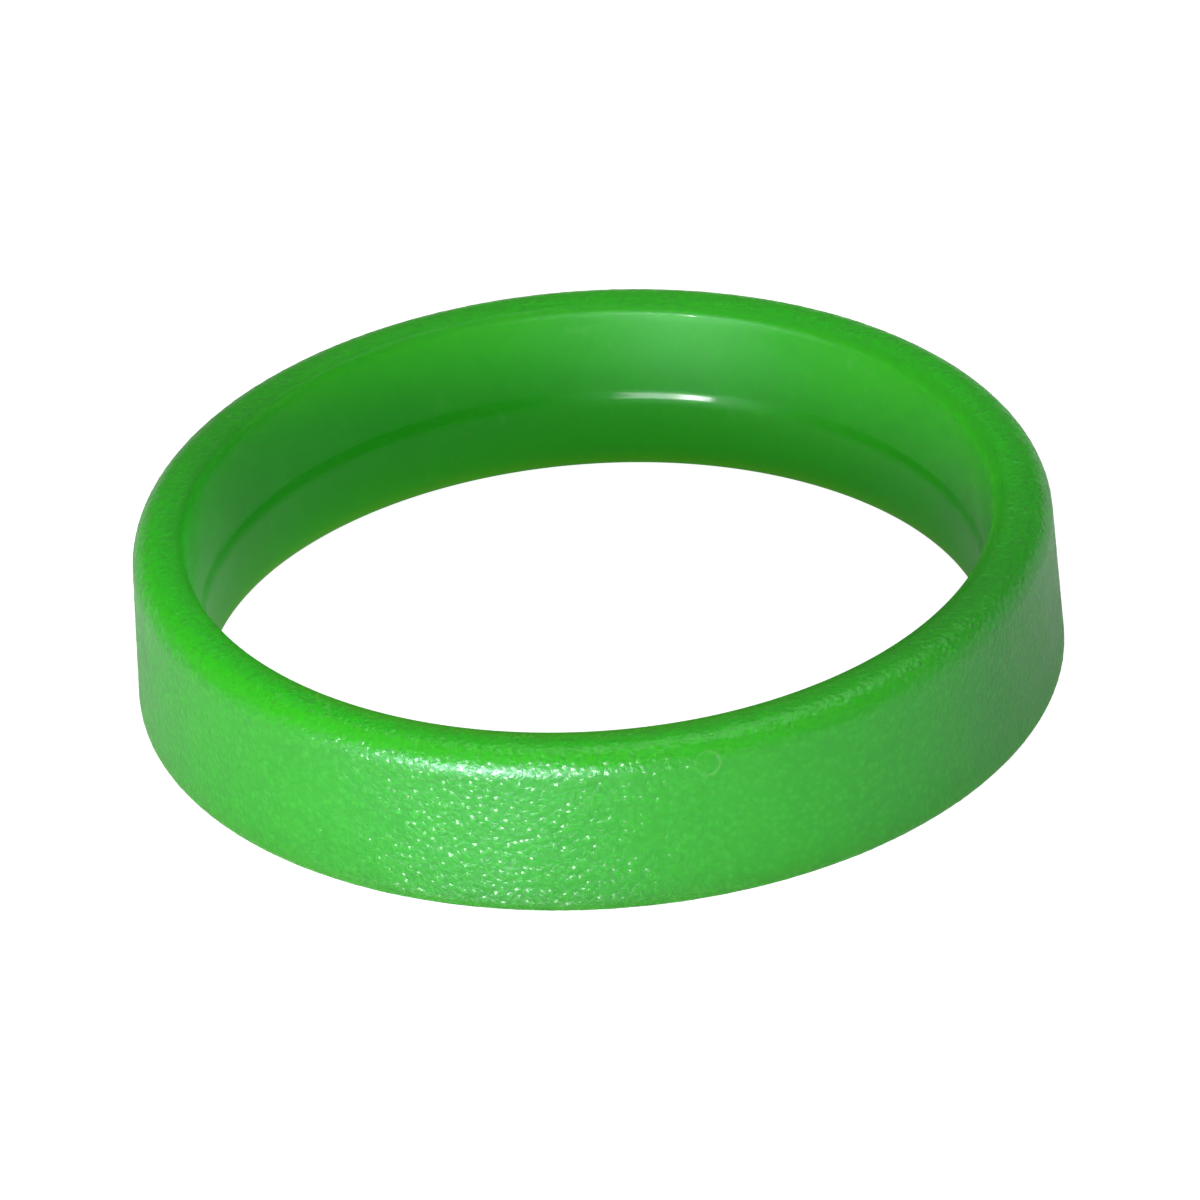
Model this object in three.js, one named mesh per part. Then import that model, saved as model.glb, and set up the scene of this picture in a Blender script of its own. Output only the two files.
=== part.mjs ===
// Closed leg band for laying hens: one moulded ring of soft green plastic.
// Millimetres. +Z runs along the bore, and the origin is the centre of the ring's base plane.
// The ring is one section turned once around the bore, so every size below is a size of that section.
import * as THREE from 'three';

// ---- driving dimensions -------------------------------------------------------------------------
const BORE_RADIUS = 8.0; // inner wall just below the parting ledge: the narrowest place, so the bore is 16 mm
const RIM_OUTER_RADIUS = 9.4; // outer wall carried up to the plane of the rim
const BASE_OUTER_RADIUS = 9.49; // outer wall carried down to the base plane, wider by the mould's draft
const HEIGHT = 3.67;

const RIM_OUTER_ROUND = 0.55; // soft outer shoulder of the rim
const BASE_OUTER_ROUND = 0.22;
const RIM_INNER_ROUND = 0.2; // crisper lip where the core's upper half met the rim
const BASE_INNER_ROUND = 0.23;

const PARTING_HEIGHT = HEIGHT * 0.45; // where the two halves of the core met
const LEDGE_DEPTH = 0.075; // the upper half of the core was this much larger in radius, which left a ledge
const LEDGE_HALF_HEIGHT = 0.18; // the ledge is a soft slope, this far above and below the parting line
const UPPER_FLARE = 0.215; // how much the upper inner wall opens from the parting line to the rim
const LOWER_FLARE = 0.02; // the lower half hardly opens at all

const TURN_SEGMENTS = 128;
const ROUND_STEPS = 4; // straight steps in each rounded edge
const LEDGE_STEPS = 6;

// ---- the section, as points (radius, height) ----------------------------------------------------
const OUTER_DRAFT = Math.atan((BASE_OUTER_RADIUS - RIM_OUTER_RADIUS) / HEIGHT);
const UPPER_DRAFT = Math.atan(UPPER_FLARE / (HEIGHT - PARTING_HEIGHT));
const LOWER_DRAFT = Math.atan(LOWER_FLARE / PARTING_HEIGHT);

const DOWN = -Math.PI / 2;
const UP = Math.PI / 2;
const INWARD = Math.PI;

const outerWallAt = (z) => BASE_OUTER_RADIUS - z * Math.tan(OUTER_DRAFT);
const upperWallAt = (z) => BORE_RADIUS + LEDGE_DEPTH + (z - PARTING_HEIGHT) * Math.tan(UPPER_DRAFT);
const lowerWallAt = (z) => BORE_RADIUS + (PARTING_HEIGHT - z) * Math.tan(LOWER_DRAFT);

// A rounded edge between a wall and the rim or the base, whose centre lies at centreHeight.
// side is -1 where the material lies inside the wall (the outer wall) and +1 on the bore's side.
function roundedEdge(wallAt, draft, side, radius, centreHeight, fromAngle, toAngle) {
  const centreRadius = wallAt(centreHeight) + (side * radius) / Math.cos(draft);
  const points = [];
  for (let step = 0; step <= ROUND_STEPS; step += 1) {
    const angle = THREE.MathUtils.lerp(fromAngle, toAngle, step / ROUND_STEPS);
    points.push(new THREE.Vector2(
      centreRadius + radius * Math.cos(angle),
      centreHeight + radius * Math.sin(angle),
    ));
  }
  return points;
}

// The ledge on the inner wall, from its upper foot to its lower foot: an S-curve between the two halves.
function partingLedge() {
  const lowerFoot = PARTING_HEIGHT - LEDGE_HALF_HEIGHT;
  const upperFoot = PARTING_HEIGHT + LEDGE_HALF_HEIGHT;
  const points = [];
  for (let step = 0; step <= LEDGE_STEPS; step += 1) {
    const z = THREE.MathUtils.lerp(upperFoot, lowerFoot, step / LEDGE_STEPS);
    const above = THREE.MathUtils.smoothstep(z, lowerFoot, upperFoot);
    points.push(new THREE.Vector2(THREE.MathUtils.lerp(lowerWallAt(z), upperWallAt(z), above), z));
  }
  return points;
}

function bandSection() {
  const section = [
    ...roundedEdge(outerWallAt, OUTER_DRAFT, -1, BASE_OUTER_ROUND, BASE_OUTER_ROUND, DOWN, OUTER_DRAFT),
    ...roundedEdge(outerWallAt, OUTER_DRAFT, -1, RIM_OUTER_ROUND, HEIGHT - RIM_OUTER_ROUND, OUTER_DRAFT, UP),
    ...roundedEdge(
      upperWallAt, UPPER_DRAFT, 1, RIM_INNER_ROUND, HEIGHT - RIM_INNER_ROUND, UP, INWARD - UPPER_DRAFT,
    ),
    ...partingLedge(),
    ...roundedEdge(
      lowerWallAt, LOWER_DRAFT, 1, BASE_INNER_ROUND, BASE_INNER_ROUND, INWARD + LOWER_DRAFT, INWARD + UP,
    ),
  ];
  section.push(section[0].clone()); // the base's flat closes the loop
  return section;
}

// ---- the one piece ------------------------------------------------------------------------------
function band() {
  const geometry = new THREE.LatheGeometry(bandSection(), TURN_SEGMENTS);
  const material = new THREE.MeshStandardMaterial({ color: 0x3bb23a, roughness: 0.4, metalness: 0 });
  const mesh = new THREE.Mesh(geometry, material);
  mesh.name = 'band';
  mesh.rotation.x = Math.PI / 2; // the lathe turns about +Y, and the bore runs along +Z
  return mesh;
}

const group = new THREE.Group();
group.name = 'leg_band';
group.add(band());

export default group;
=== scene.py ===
"""A closed leg band for poultry: one ring of soft green plastic, grained outside, with a smooth bore."""

import math

import bpy
import numpy as np
from mathutils import Matrix, Vector


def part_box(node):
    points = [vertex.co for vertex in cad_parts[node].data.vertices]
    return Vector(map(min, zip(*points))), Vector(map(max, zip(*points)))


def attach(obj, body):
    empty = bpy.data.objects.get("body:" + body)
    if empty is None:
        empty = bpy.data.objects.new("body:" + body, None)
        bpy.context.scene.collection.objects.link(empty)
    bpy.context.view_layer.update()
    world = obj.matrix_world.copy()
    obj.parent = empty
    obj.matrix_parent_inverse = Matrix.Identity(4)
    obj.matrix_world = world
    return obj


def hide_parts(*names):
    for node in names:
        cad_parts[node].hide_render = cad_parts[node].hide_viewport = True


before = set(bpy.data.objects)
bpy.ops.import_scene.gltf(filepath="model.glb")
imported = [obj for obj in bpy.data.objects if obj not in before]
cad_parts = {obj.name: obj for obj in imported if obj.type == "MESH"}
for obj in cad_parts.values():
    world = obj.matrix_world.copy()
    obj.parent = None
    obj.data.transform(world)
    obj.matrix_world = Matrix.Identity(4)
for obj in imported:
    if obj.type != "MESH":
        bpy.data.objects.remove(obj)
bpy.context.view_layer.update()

MM = 0.001
WHITE = (1, 1, 1, 1)

# ---- sizes of the ring, as the CAD section has them ---------------------------------------------
BAND_LOW, BAND_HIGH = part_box("band")
HEIGHT = BAND_HIGH[2] - BAND_LOW[2]
WIDEST = (BAND_HIGH[0] - BAND_LOW[0]) / 2
DRAFT = 0.0245  # radians: the outer wall leans in towards the rim, as it must to leave its mould
BORE_RADIUS = 8.0 * MM
RIM_OUTER_ROUND = 0.55 * MM
BASE_OUTER_ROUND = 0.22 * MM
RIM_INNER_ROUND = 0.20 * MM
BASE_INNER_ROUND = 0.23 * MM
LEDGE_DEPTH = 0.075 * MM
LEDGE_HALF_HEIGHT = 0.18 * MM
PARTING_HEIGHT = HEIGHT * 0.45
UPPER_FLARE = 0.215 * MM
LOWER_FLARE = 0.02 * MM
BORE_OFFSET = -0.06 * MM  # the core sat this far off centre in the mould

# ---- how finely the ring is meshed --------------------------------------------------------------
TURN_STEPS = 1180
GRAIN_STEP = 0.05 * MM  # along the section, where it is grained or rounded
SMOOTH_STEP = 0.14 * MM  # down the inner wall
LEDGE_STEP = 0.03 * MM  # down the ledge
LEDGE_REACH = 1.2 * LEDGE_HALF_HEIGHT  # the ledge's steps are used this far above and below the parting
LAST_GAP = SMOOTH_STEP / 3  # the inner wall's points end at least this far above its lower round

# ---- where the finish changes: the two radii or heights between which it goes over --------------
LIP_RADIUS = BORE_RADIUS + LEDGE_DEPTH + UPPER_FLARE  # the inner wall carried up to the plane of the rim
GRAIN_STARTS = (LIP_RADIUS + 0.02 * MM, LIP_RADIUS + 0.30 * MM)
BORE_ENDS = (LIP_RADIUS - 0.02 * MM, LIP_RADIUS + 0.12 * MM)
LIP_ENDS = (LIP_RADIUS + 0.10 * MM, LIP_RADIUS + 0.30 * MM)
LIP_STARTS = (HEIGHT - 0.30 * MM, HEIGHT - 0.20 * MM)
RIM_STARTS = (HEIGHT - 0.45 * MM, HEIGHT - 0.05 * MM)
RIM_FLAT_STARTS = (HEIGHT - 0.15 * MM, HEIGHT - 0.01 * MM)
LOW_BORE_ENDS = (0.4 * PARTING_HEIGHT, 1.3 * PARTING_HEIGHT)

# ---- moulded grain ------------------------------------------------------------------------------
BUMP_PITCH = 0.165 * MM  # round bumps, one for each crater that spark erosion left in the mould
BUMP_HEIGHT = 0.038 * MM
LOWEST_BUMP = 0.35  # the lowest bump's height as a share of the tallest's
BUMP_REACH = 0.80  # a bump's radius as a share of the pitch
RELIEF_SHARE = 0.20  # how much of the grain the mesh carries; the material adds the rest between its points
SATIN_PITCH = 0.09 * MM
SATIN_DEPTH = 0.014 * MM
RIM_GRAIN = 0.8  # the rim is a little smoother than the wall
RIM_HAZE_BUMPS = 0.3  # how much the bumps also break up the haze on the rim

# ---- marks --------------------------------------------------------------------------------------
PIN_MARK_TURN = math.radians(282.2)  # a mould pin left a faint open ring on the outer shoulder
PIN_MARK_HEIGHT = HEIGHT - 0.48 * MM
PIN_MARK_RADIUS = 0.26 * MM
PIN_MARK_LINE = 0.045 * MM
PIN_MARK_RISE = 0.010 * MM
PIN_MARK_FADE = (-0.7, 0.2)  # faintest left of the first and whole right of the second, in its own radii; this fade puts the pin ring's painted highlight on its right side
PIN_MARK_FAINTEST = 0.2
RIM_SCRATCHES = (  # x, y and length
    (-5.79 * MM, -6.32 * MM, 0.20 * MM),
    (-5.58 * MM, -6.78 * MM, 0.36 * MM),
    (-9.00 * MM, -0.18 * MM, 0.08 * MM),
)
SCRATCH_WIDTH = 0.05 * MM
BLOT_PITCH = 0.45 * MM
BLOT_EDGE = (0.60, 0.78)  # of the noise that shapes the smudges' blots
BLOT_STRENGTH = 0.5
PATCH_PITCH = 2.6 * MM
PATCH_EDGE = (0.52, 0.64)  # of the noise that says which patches of the bore are smudged
RUB_PITCH = 0.35 * MM
RUB_EDGE = (0.50, 0.62)  # of the noise that says where the lip keeps its skin

# ---- the plastic --------------------------------------------------------------------------------
BODY_GREENS = ((0.014, 0.295, 0.001), (0.018, 0.320, 0.001))  # it drifts between these two
MOTTLE_PITCH = 1.6 * MM
# painted light: a warmer, lighter green low in the bore, standing in for the light that reaches it there
LOW_BORE_PAINTED_LIGHT_GREEN = (0.034, 0.385, 0.0005)
# painted light: the rim's flat gets a lighter green than the wall, standing in for the light it catches
RIM_PAINTED_LIGHT_GREEN = (0.028, 0.450, 0.004)
# painted light: the bumps' tops get a paler green, as if they caught the light
BUMP_TOP_PAINTED_LIGHT_GREEN = (0.026, 0.365, 0.008)
BUMP_TOPS = (0.1 * BUMP_HEIGHT, 0.9 * BUMP_HEIGHT)
# pale colour for wear, also used as a painted highlight on the pin's ring
WEAR_AND_HIGHLIGHT_GREEN = (0.25, 0.50, 0.22)
WEAR_AND_HIGHLIGHT_SHARE = 0.28  # how far a fully worn place, and the pin ring's painted highlight, go towards WEAR_AND_HIGHLIGHT_GREEN
LIGHT_REACH = 12.0 * MM  # how far light travels inside the plastic
LIGHT_REACH_SHARES = (0.3, 1.0, 0.15)  # of it, for red, green and blue
NOISE_MIDDLE = (0.3, 0.7)  # most of a noise's values lie between these

HAZE_ROUGHNESS = (0.40, 0.50)
SMEAR_PITCH = 0.9 * MM
LIP_ROUGHNESS = 0.55
REFRACTION = 1.50
HAZE_LEVELS = (0.85, 0.45)  # in general, and low in the bore
HAZE_TINTS = ((0.50, 0.85, 0.65), (0.64, 0.86, 0.94))  # on the rim and in the bore, and on the outer wall

SKIN_ON_GRAIN = 0.55  # weight of the clear skin
SKIN_IN_BORE = 0.32
SKIN_ROUGHNESS = (0.26, 0.12)  # on the grain, and in the bore

# ---- the studio ---------------------------------------------------------------------------------
LAMP_DISTANCE = 300 * MM
WALL_GLOW = 0.25
CEILING_GLOW = 0.10
CEILING_FROM = 0.35  # the sine of the elevation at which the ceiling's glow begins
FLOOR_REACH = 4000 * MM
FLOOR_GAP = 0.01 * MM
FLOOR_GREY = (0.55, 0.55, 0.55, 1)
FLOOR_ROUGHNESS = 0.9
FLOOR_SHINE = 0.1
# painted light: the paper's glow stands in for bounce light, and is lower inside the ring as a painted shadow
GLOW_INSIDE = (0.24, 0.17)  # at the left of the bore, and from its middle rightwards
GLOW_INSIDE_FROM = -0.8 * BORE_RADIUS
GLOW_OUTSIDE = 0.28
GLOW_OUTSIDE_FROM = 1.4 * BORE_RADIUS
GLOW_TO_CAMERA = 0.98

# ---- the viewpoint ------------------------------------------------------------------------------
CAMERA_DISTANCE = 700 * MM
CAMERA_AZIMUTH = -90  # degrees
CAMERA_ELEVATION = 31.2  # degrees
CAMERA_ROLL = math.radians(-4.14)
FRAME_WIDTH = 24.53 * MM  # what the frame spans at the ring
AIM_RIGHT = 0.07 * MM
AIM_DOWN = 0.147 * MM
SENSOR_WIDTH = 36.0
CLIP_NEAR = 10 * MM
CLIP_FAR = 10000 * MM

SHARES = ("grain", "bore", "lip", "rim")  # what the material is told about each point of the section


# ---- the section --------------------------------------------------------------------------------
def smooth(low, high, value):
    """0 below low, 1 above high, and an S-curve between them."""
    t = min(1.0, max(0.0, (value - low) / (high - low)))
    return t * t * (3 - 2 * t)


def arc(centre, radius, start, end):
    """Points on an arc of the section, both ends included. Angles are in radians from straight outwards."""
    count = max(3, round(abs(end - start) * radius / GRAIN_STEP))
    angles = np.linspace(start, end, count + 1)
    return [(centre[0] + radius * math.cos(a), centre[1] + radius * math.sin(a)) for a in angles]


def outer_wall(z):
    """Radius of the outer wall at height z."""
    widest_at = BASE_OUTER_ROUND * (1 + math.sin(DRAFT))
    return WIDEST - (z - widest_at) * math.tan(DRAFT)


def bore_wall(z):
    """Radius of the inner wall at height z. Its upper half is a little wider, past a soft ledge."""
    above = smooth(PARTING_HEIGHT - LEDGE_HALF_HEIGHT, PARTING_HEIGHT + LEDGE_HALF_HEIGHT, z)
    upper = LEDGE_DEPTH + UPPER_FLARE * (z - PARTING_HEIGHT) / (HEIGHT - PARTING_HEIGHT)
    lower = LOWER_FLARE * (PARTING_HEIGHT - z) / PARTING_HEIGHT
    return BORE_RADIUS + above * upper + (1 - above) * lower


def down_the_bore(top, bottom):
    """Points on the inner wall from top to bottom, neither included, with fine steps at the ledge."""
    points = []
    z = top
    while z > bottom:
        near_ledge = abs(z - PARTING_HEIGHT) < LEDGE_REACH
        z -= LEDGE_STEP if near_ledge else SMOOTH_STEP
        if z > bottom + LAST_GAP:
            points.append((bore_wall(z), z))
    return points


def section():
    """The closed section as rows of radius, height and SHARES, anticlockwise from the base's outer round."""
    up, out, inward = math.pi / 2, 0.0, math.pi
    upper_lean = math.atan(UPPER_FLARE / (HEIGHT - PARTING_HEIGHT))
    lower_lean = math.atan(LOWER_FLARE / PARTING_HEIGHT)
    base_z, rim_z = BASE_OUTER_ROUND, HEIGHT - RIM_OUTER_ROUND
    base_out = (outer_wall(base_z) - BASE_OUTER_ROUND / math.cos(DRAFT), base_z)
    rim_out = (outer_wall(rim_z) - RIM_OUTER_ROUND / math.cos(DRAFT), rim_z)
    lip_z, foot_z = HEIGHT - RIM_INNER_ROUND, BASE_INNER_ROUND
    lip = (bore_wall(lip_z) + RIM_INNER_ROUND / math.cos(upper_lean), lip_z)
    foot = (bore_wall(foot_z) + BASE_INNER_ROUND / math.cos(lower_lean), foot_z)

    outline = arc(base_out, BASE_OUTER_ROUND, -up, out + DRAFT)
    outline += arc(rim_out, RIM_OUTER_ROUND, out + DRAFT, up)
    outline += arc(lip, RIM_INNER_ROUND, up, inward - upper_lean)
    outline += down_the_bore(outline[-1][1], foot_z)
    outline += arc(foot, BASE_INNER_ROUND, inward + lower_lean, inward + up)
    return [(r, z, *shares(r, z)) for r, z in fill_straights(outline)]


def fill_straights(outline):
    """The closed outline with points added along its straight runs outside the bore."""
    points = []
    for here, there in zip(outline, outline[1:] + outline[:1]):
        in_bore = min(here[0], there[0]) < GRAIN_STARTS[0]
        steps = 1 if in_bore else max(1, round(math.dist(here, there) / GRAIN_STEP))
        for i in range(steps):
            t = i / steps
            points.append((here[0] + t * (there[0] - here[0]), here[1] + t * (there[1] - here[1])))
    return points


def shares(r, z):
    """The four SHARES at radius r and height z.

    grain is how strongly the moulded grain shows, bore is 1 on the smooth inner wall, and lip is 1 on the
    bore's upper edge. rim grows from 0 on the shoulder to 1 on the rim's flat, and is 0 again on the lip.
    """
    grain = smooth(*GRAIN_STARTS, r) * (1 - (1 - RIM_GRAIN) * smooth(*RIM_FLAT_STARTS, z))
    bore = 1 - smooth(*BORE_ENDS, r)
    near_lip = 1 - smooth(*LIP_ENDS, r)
    lip = smooth(*LIP_STARTS, z) * near_lip
    rim = smooth(*RIM_STARTS, z) * (1 - near_lip)
    return grain, bore, lip, rim


# ---- the ring's mesh ----------------------------------------------------------------------------
def ring_mesh(name):
    """The section's points turned round the bore and joined by quads, with SHARES kept on each point."""
    rows = np.array(section())
    count = len(rows)
    r, z = rows[:, 0], rows[:, 1]
    kept = dict(zip(SHARES, rows[:, 2:].T))
    angles = np.linspace(0, 2 * math.pi, TURN_STEPS, endpoint=False)
    cos_a, sin_a = np.cos(angles)[:, None], np.sin(angles)[:, None]
    x = cos_a * r + BORE_OFFSET * kept["bore"]
    y = sin_a * r
    co = np.stack([x, y, np.broadcast_to(z, x.shape)], axis=-1).reshape(-1, 3)

    turn = np.arange(TURN_STEPS)[:, None] * count
    after = ((np.arange(TURN_STEPS) + 1) % TURN_STEPS)[:, None] * count
    step = np.arange(count)[None, :]
    beyond = (step + 1) % count
    quads = np.stack([turn + step, after + step, after + beyond, turn + beyond], axis=-1).reshape(-1, 4)

    mesh = bpy.data.meshes.new(name)
    mesh.from_pydata(co.tolist(), [], quads.tolist())
    for label, values in kept.items():
        layer = mesh.attributes.new(label, "FLOAT", "POINT")
        layer.data.foreach_set("value", np.tile(values, TURN_STEPS).astype(np.float32))
    mesh.polygons.foreach_set("use_smooth", [True] * len(mesh.polygons))
    mesh.update()
    return mesh


# ---- small helpers for node trees ---------------------------------------------------------------
def node(tree, kind, **settings):
    made = tree.nodes.new(kind)
    for key, value in settings.items():
        setattr(made, key, value)
    return made


def feed(tree, socket, value):
    """Gives an input its value, which is another node's output or a plain value."""
    if isinstance(value, bpy.types.NodeSocket):
        tree.links.new(value, socket)
    else:
        socket.default_value = value


def math_node(tree, operation, a, b=None, clamp=False):
    made = node(tree, "ShaderNodeMath", operation=operation, use_clamp=clamp)
    feed(tree, made.inputs[0], a)
    if b is not None:
        feed(tree, made.inputs[1], b)
    return made.outputs[0]


def times(tree, a, b):
    return math_node(tree, "MULTIPLY", a, b)


def axes(tree, vector):
    """The X, Y and Z of a vector, by name."""
    split = node(tree, "ShaderNodeSeparateXYZ")
    feed(tree, split.inputs[0], vector)
    return split.outputs


def noise(tree, position, pitch, detail=1.0):
    """Noise in 0 to 1 whose features are about pitch apart."""
    made = node(tree, "ShaderNodeTexNoise", noise_dimensions="3D")
    feed(tree, made.inputs["Vector"], position)
    feed(tree, made.inputs["Scale"], 1 / pitch)
    feed(tree, made.inputs["Detail"], detail)
    return made.outputs[0]


def map_range(tree, value, low, high, to_low, to_high):
    """to_low where value is low or less, to_high where it is high or more, and evenly between them."""
    made = node(tree, "ShaderNodeMapRange", clamp=True)
    for socket, given in zip(made.inputs, (value, low, high, to_low, to_high)):
        feed(tree, socket, given)
    return made.outputs[0]


def mixed(tree, factor, first, second):
    """A colour that goes from first to second with factor. Either may be a socket or three numbers."""
    made = node(tree, "ShaderNodeMix", data_type="RGBA")
    feed(tree, made.inputs["Factor"], factor)
    for socket, value in ((made.inputs[6], first), (made.inputs[7], second)):
        feed(tree, socket, (*value, 1) if isinstance(value, tuple) else value)
    return made.outputs[2]


def bump(tree, height, strength, distance):
    made = node(tree, "ShaderNodeBump")
    feed(tree, made.inputs["Distance"], distance)
    feed(tree, made.inputs["Strength"], strength)
    feed(tree, made.inputs["Height"], height)
    return made.outputs[0]


# ---- the moulded grain --------------------------------------------------------------------------
def satin_height(tree, position):
    """Height in metres of the fine unevenness between the moulded bumps."""
    return times(tree, noise(tree, position, SATIN_PITCH), SATIN_DEPTH)


def bump_height(tree, position):
    """Height in metres of the moulded bumps alone: round, close together and of mixed heights."""
    cells = node(tree, "ShaderNodeTexVoronoi", voronoi_dimensions="3D", feature="F1")
    feed(tree, cells.inputs["Vector"], position)
    feed(tree, cells.inputs["Scale"], 1 / BUMP_PITCH)
    away = math_node(tree, "DIVIDE", cells.outputs["Distance"], BUMP_REACH)
    fall = math_node(tree, "SUBTRACT", 1.0, times(tree, away, away), clamp=True)
    by_chance = axes(tree, cells.outputs["Color"])["X"]
    tall = map_range(tree, by_chance, 0.0, 1.0, LOWEST_BUMP * BUMP_HEIGHT, BUMP_HEIGHT)
    return times(tree, times(tree, fall, fall), tall)


def grain_height(tree, position):
    """Height in metres of the whole moulded grain. The mesh and the material both read it."""
    return math_node(tree, "ADD", bump_height(tree, position), satin_height(tree, position))


def add_grain(piece):
    """Raises the mesh by its share of the grain, with a Geometry Nodes modifier."""
    tree = bpy.data.node_groups.new("moulded_grain", "GeometryNodeTree")
    tree.interface.new_socket("Geometry", in_out="INPUT", socket_type="NodeSocketGeometry")
    tree.interface.new_socket("Geometry", in_out="OUTPUT", socket_type="NodeSocketGeometry")
    start, end = node(tree, "NodeGroupInput"), node(tree, "NodeGroupOutput")
    position = node(tree, "GeometryNodeInputPosition").outputs[0]
    normal = node(tree, "GeometryNodeInputNormal").outputs[0]
    grain = node(tree, "GeometryNodeInputNamedAttribute", data_type="FLOAT")
    feed(tree, grain.inputs["Name"], "grain")
    depth = times(tree, grain.outputs[0], RELIEF_SHARE)
    offset = node(tree, "ShaderNodeVectorMath", operation="SCALE")
    feed(tree, offset.inputs[0], normal)
    feed(tree, offset.inputs["Scale"], times(tree, grain_height(tree, position), depth))
    move = node(tree, "GeometryNodeSetPosition")
    feed(tree, move.inputs["Geometry"], start.outputs[0])
    feed(tree, move.inputs["Offset"], offset.outputs[0])
    feed(tree, end.inputs[0], move.outputs[0])
    piece.modifiers.new("moulded_grain", "NODES").node_group = tree


# ---- marks --------------------------------------------------------------------------------------
def pin_mark(tree, position):
    """0 to 1 on the thin open ring that a mould pin left. It is faint on its left side, so its pale colour is
    a painted highlight on the right side; the rise it gives is relief.
    """
    radius = outer_wall(PIN_MARK_HEIGHT)
    centre = (radius * math.cos(PIN_MARK_TURN), radius * math.sin(PIN_MARK_TURN), PIN_MARK_HEIGHT)
    away = node(tree, "ShaderNodeVectorMath", operation="DISTANCE")
    feed(tree, away.inputs[0], position)
    feed(tree, away.inputs[1], centre)
    aside = math_node(tree, "SUBTRACT", away.outputs["Value"], PIN_MARK_RADIUS)
    line = map_range(tree, math_node(tree, "ABSOLUTE", aside), 0.0, PIN_MARK_LINE, 1.0, 0.0)
    faintest_at, whole_at = (centre[0] + radii * PIN_MARK_RADIUS for radii in PIN_MARK_FADE)
    across = axes(tree, position)["X"]
    return times(tree, line, map_range(tree, across, faintest_at, whole_at, PIN_MARK_FAINTEST, 1.0))


def scratch(tree, place, x, y, length):
    """0 to 1 inside a short scratch on the rim that runs along Y. Its middle is at x, y."""
    aside = math_node(tree, "ABSOLUTE", math_node(tree, "SUBTRACT", place["X"], x))
    onwards = math_node(tree, "ABSOLUTE", math_node(tree, "SUBTRACT", place["Y"], y))
    across = map_range(tree, aside, 0.0, SCRATCH_WIDTH, 1.0, 0.0)
    return times(tree, across, map_range(tree, onwards, length / 2, length, 1.0, 0.0))


def wear_and_painted_highlight(tree, position, bore, rim):
    """0 to 1 where the surface is marked pale: smudges in the bore and scratches on the rim, which are wear,
    and the pin's ring, whose paleness is a painted highlight.
    """
    blot_noise = noise(tree, position, BLOT_PITCH, detail=3.0)
    blots = map_range(tree, blot_noise, *BLOT_EDGE, 0.0, BLOT_STRENGTH)
    patches = map_range(tree, noise(tree, position, PATCH_PITCH), *PATCH_EDGE, 0.0, 1.0)
    smudges = times(tree, times(tree, blots, patches), bore)
    wear_and_highlight = math_node(tree, "MAXIMUM", smudges, pin_mark(tree, position))
    place = axes(tree, position)
    for x, y, length in RIM_SCRATCHES:
        wear_and_highlight = math_node(tree, "MAXIMUM", wear_and_highlight, times(tree, scratch(tree, place, x, y, length), rim))
    return wear_and_highlight


# ---- the plastic --------------------------------------------------------------------------------
def read_share(tree, label):
    return node(tree, "ShaderNodeAttribute", attribute_name=label).outputs["Fac"]


def band_plastic():
    material = bpy.data.materials.new("band_plastic")
    material.use_nodes = True
    tree = material.node_tree
    tree.nodes.clear()
    shader = node(tree, "ShaderNodeBsdfPrincipled")
    output = node(tree, "ShaderNodeOutputMaterial")
    feed(tree, output.inputs["Surface"], shader.outputs[0])

    position = node(tree, "ShaderNodeTexCoord").outputs["Object"]
    grain, bore, lip, rim = (read_share(tree, label) for label in SHARES)
    low_in_bore = times(tree, bore, map_range(tree, axes(tree, position)["Z"], *LOW_BORE_ENDS, 1.0, 0.0))
    wear_and_highlight = wear_and_painted_highlight(tree, position, bore, rim)
    add_body(tree, shader, position, grain, low_in_bore, rim, wear_and_highlight)
    add_haze(tree, shader, position, grain, low_in_bore, lip, rim)
    add_skin(tree, shader, position, grain, bore, lip, wear_and_highlight)
    return material


def add_body(tree, shader, position, grain, low_in_bore, rim, wear_and_highlight):
    """Soft see-through green. Painted light makes it lighter on the rim, paler on the bumps' tops, and warmer
    and lighter low in the bore. It is paler where worn, and on the pin's ring as a painted highlight.
    """
    mottle = map_range(tree, noise(tree, position, MOTTLE_PITCH, detail=3.0), *NOISE_MIDDLE, 0.0, 1.0)
    painted_light_tops = map_range(tree, bump_height(tree, position), *BUMP_TOPS, 0.0, 1.0)
    colour = mixed(tree, mottle, *BODY_GREENS)
    colour = mixed(tree, low_in_bore, colour, LOW_BORE_PAINTED_LIGHT_GREEN)
    # painted light: a lighter green on the rim
    colour = mixed(tree, rim, colour, RIM_PAINTED_LIGHT_GREEN)
    # painted light on the bumps' tops
    colour = mixed(tree, times(tree, painted_light_tops, grain), colour, BUMP_TOP_PAINTED_LIGHT_GREEN)
    # pale wear, and the pin ring's painted highlight
    colour = mixed(tree, times(tree, wear_and_highlight, WEAR_AND_HIGHLIGHT_SHARE), colour, WEAR_AND_HIGHLIGHT_GREEN)
    feed(tree, shader.inputs["Base Color"], colour)
    feed(tree, shader.inputs["Subsurface Weight"], 1.0)
    feed(tree, shader.inputs["Subsurface Radius"], LIGHT_REACH_SHARES)
    feed(tree, shader.inputs["Subsurface Scale"], LIGHT_REACH)


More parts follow.
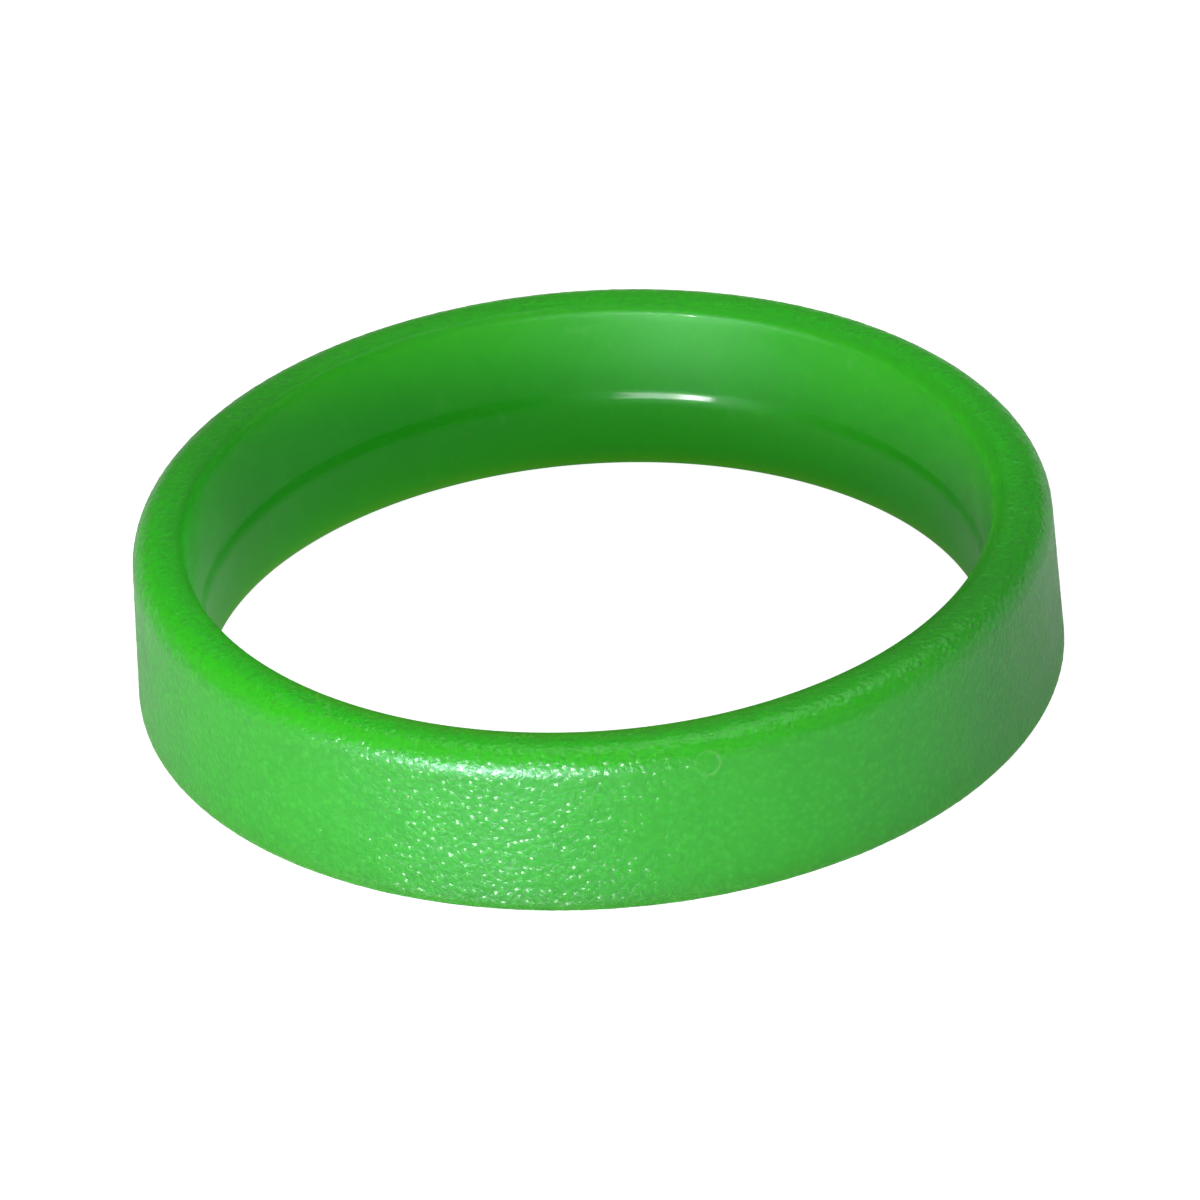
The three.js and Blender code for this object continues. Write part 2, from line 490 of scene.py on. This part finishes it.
def add_haze(tree, shader, position, grain, low_in_bore, lip, rim):
    """A broad satin haze from the body of the plastic, duller on the lip and weaker low in the bore."""
    smear_noise = noise(tree, position, SMEAR_PITCH, detail=4.0)
    smear = map_range(tree, smear_noise, *NOISE_MIDDLE, *HAZE_ROUGHNESS)
    outside = map_range(tree, grain, RIM_GRAIN, 1.0, 0.0, 1.0)
    rim_bumps = times(tree, bump_height(tree, position), times(tree, rim, RIM_HAZE_BUMPS))
    relief = math_node(tree, "ADD", satin_height(tree, position), rim_bumps)
    feed(tree, shader.inputs["Roughness"], math_node(tree, "MAXIMUM", smear, times(tree, lip, LIP_ROUGHNESS)))
    feed(tree, shader.inputs["IOR"], REFRACTION)
    feed(tree, shader.inputs["Specular IOR Level"], map_range(tree, low_in_bore, 0.0, 1.0, *HAZE_LEVELS))
    feed(tree, shader.inputs["Specular Tint"], mixed(tree, outside, *HAZE_TINTS))
    feed(tree, shader.inputs["Normal"], bump(tree, relief, grain, distance=1.0))


def add_skin(tree, shader, position, grain, bore, lip, wear_and_highlight):
    """A clear skin that carries the sparkle of the bumps. It is gone from most of the lip, where worn, and
    along the pin's ring.
    """
    weight = math_node(tree, "ADD", times(tree, grain, SKIN_ON_GRAIN), times(tree, bore, SKIN_IN_BORE))
    rubbed = map_range(tree, noise(tree, position, RUB_PITCH), *RUB_EDGE, 1.0, 0.0)
    gone = math_node(tree, "MAXIMUM", times(tree, lip, rubbed), wear_and_highlight)
    rise = times(tree, pin_mark(tree, position), PIN_MARK_RISE)
    relief = math_node(tree, "ADD", grain_height(tree, position), rise)
    feed(tree, shader.inputs["Coat Weight"], times(tree, weight, math_node(tree, "SUBTRACT", 1.0, gone)))
    feed(tree, shader.inputs["Coat Roughness"], map_range(tree, bore, 0.0, 1.0, *SKIN_ROUGHNESS))
    feed(tree, shader.inputs["Coat Normal"], bump(tree, relief, grain, distance=1 - RELIEF_SHARE))


def make_band():
    piece = bpy.data.objects.new("leg_band", ring_mesh("leg_band"))
    bpy.context.scene.collection.objects.link(piece)
    piece.data.materials.append(band_plastic())
    add_grain(piece)
    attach(piece, "root")
    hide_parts("band")


# ---- the studio ---------------------------------------------------------------------------------
def direction(azimuth, elevation):
    """Unit vector at azimuth degrees from +X towards +Y, and elevation degrees above the floor."""
    a, e = math.radians(azimuth), math.radians(elevation)
    return Vector((math.cos(a) * math.cos(e), math.sin(a) * math.cos(e), math.sin(e)))


def soft_box(name, azimuth, elevation, wide, tall, radiance):
    """A soft oval light facing the ring, wide and tall in degrees as the ring sees it."""
    data = bpy.data.lights.new(name, "AREA")
    data.shape = "ELLIPSE"
    data.size = 2 * LAMP_DISTANCE * math.tan(math.radians(wide / 2))
    data.size_y = 2 * LAMP_DISTANCE * math.tan(math.radians(tall / 2))
    area = data.size * data.size_y * math.pi / 4
    data.energy = radiance * math.pi * area
    lamp = bpy.data.objects.new(name, data)
    towards = direction(azimuth, elevation)
    lamp.location = towards * LAMP_DISTANCE
    lamp.rotation_euler = towards.to_track_quat("Z", "Y").to_euler()
    bpy.context.scene.collection.objects.link(lamp)


def make_lights():
    soft_box("key_box", azimuth=-113, elevation=5, wide=28, tall=14, radiance=25)
    soft_box("key_core", azimuth=-122, elevation=6, wide=11, tall=9, radiance=108)
    soft_box("top_box", azimuth=60, elevation=74, wide=50, tall=36, radiance=1.4)
    soft_box("right_box", azimuth=15, elevation=12, wide=50, tall=26, radiance=0.4)


def make_world():
    """Pale walls round the table, dimmer higher up."""
    world = bpy.data.worlds.new("studio")
    world.use_nodes = True
    tree = world.node_tree
    towards = node(tree, "ShaderNodeTexCoord").outputs["Generated"]
    strength = map_range(tree, axes(tree, towards)["Z"], 0.0, CEILING_FROM, WALL_GLOW, CEILING_GLOW)
    background = tree.nodes["Background"]
    feed(tree, background.inputs["Color"], WHITE)
    feed(tree, background.inputs["Strength"], strength)
    bpy.context.scene.world = world


def paper():
    """Plain pale paper. It glows a little, as painted bounce light, with a painted shadow inside the ring
    that is lighter at the bore's left, and most for the camera.
    """
    material = bpy.data.materials.new("paper")
    material.use_nodes = True
    tree = material.node_tree
    place = node(tree, "ShaderNodeTexCoord").outputs["Object"]
    inside = map_range(tree, axes(tree, place)["X"], GLOW_INSIDE_FROM, 0.0, *GLOW_INSIDE)
    away = node(tree, "ShaderNodeVectorMath", operation="LENGTH")
    feed(tree, away.inputs[0], place)
    outside = map_range(tree, away.outputs["Value"], BORE_RADIUS, GLOW_OUTSIDE_FROM, 0.0, GLOW_OUTSIDE)
    bounce = math_node(tree, "MAXIMUM", inside, outside)
    seen = node(tree, "ShaderNodeLightPath").outputs["Is Camera Ray"]
    glow = math_node(tree, "MAXIMUM", bounce, times(tree, seen, GLOW_TO_CAMERA))
    shader = tree.nodes["Principled BSDF"]
    feed(tree, shader.inputs["Base Color"], FLOOR_GREY)
    feed(tree, shader.inputs["Roughness"], FLOOR_ROUGHNESS)
    feed(tree, shader.inputs["Specular IOR Level"], FLOOR_SHINE)
    feed(tree, shader.inputs["Emission Color"], WHITE)
    feed(tree, shader.inputs["Emission Strength"], glow)
    return material


def make_floor():
    """A flat floor just under the ring, centred on it and FLOOR_REACH from there to each edge."""
    mesh = bpy.data.meshes.new("floor")
    reach = FLOOR_REACH
    corners = [(-reach, -reach, 0), (reach, -reach, 0), (reach, reach, 0), (-reach, reach, 0)]
    mesh.from_pydata(corners, [], [(0, 1, 2, 3)])
    mesh.materials.append(paper())
    floor = bpy.data.objects.new("floor", mesh)
    floor.location.z = BAND_LOW[2] - FLOOR_GAP
    bpy.context.scene.collection.objects.link(floor)


def make_camera():
    data = bpy.data.cameras.new("camera")
    data.sensor_width = SENSOR_WIDTH
    data.lens = SENSOR_WIDTH * CAMERA_DISTANCE / FRAME_WIDTH
    data.clip_start, data.clip_end = CLIP_NEAR, CLIP_FAR
    camera = bpy.data.objects.new("camera", data)
    back = direction(CAMERA_AZIMUTH, CAMERA_ELEVATION)
    turn = back.to_track_quat("Z", "Y").to_matrix() @ Matrix.Rotation(CAMERA_ROLL, 3, "Z")
    centre = Vector((0, 0, BAND_LOW[2] + HEIGHT / 2))
    aim = centre + turn @ Vector((AIM_RIGHT, -AIM_DOWN, 0))
    camera.matrix_world = Matrix.Translation(aim + back * CAMERA_DISTANCE) @ turn.to_4x4()
    bpy.context.scene.collection.objects.link(camera)
    bpy.context.scene.camera = camera


make_band()
make_lights()
make_world()
make_floor()
make_camera()
bpy.context.scene.view_settings.view_transform = "Standard"
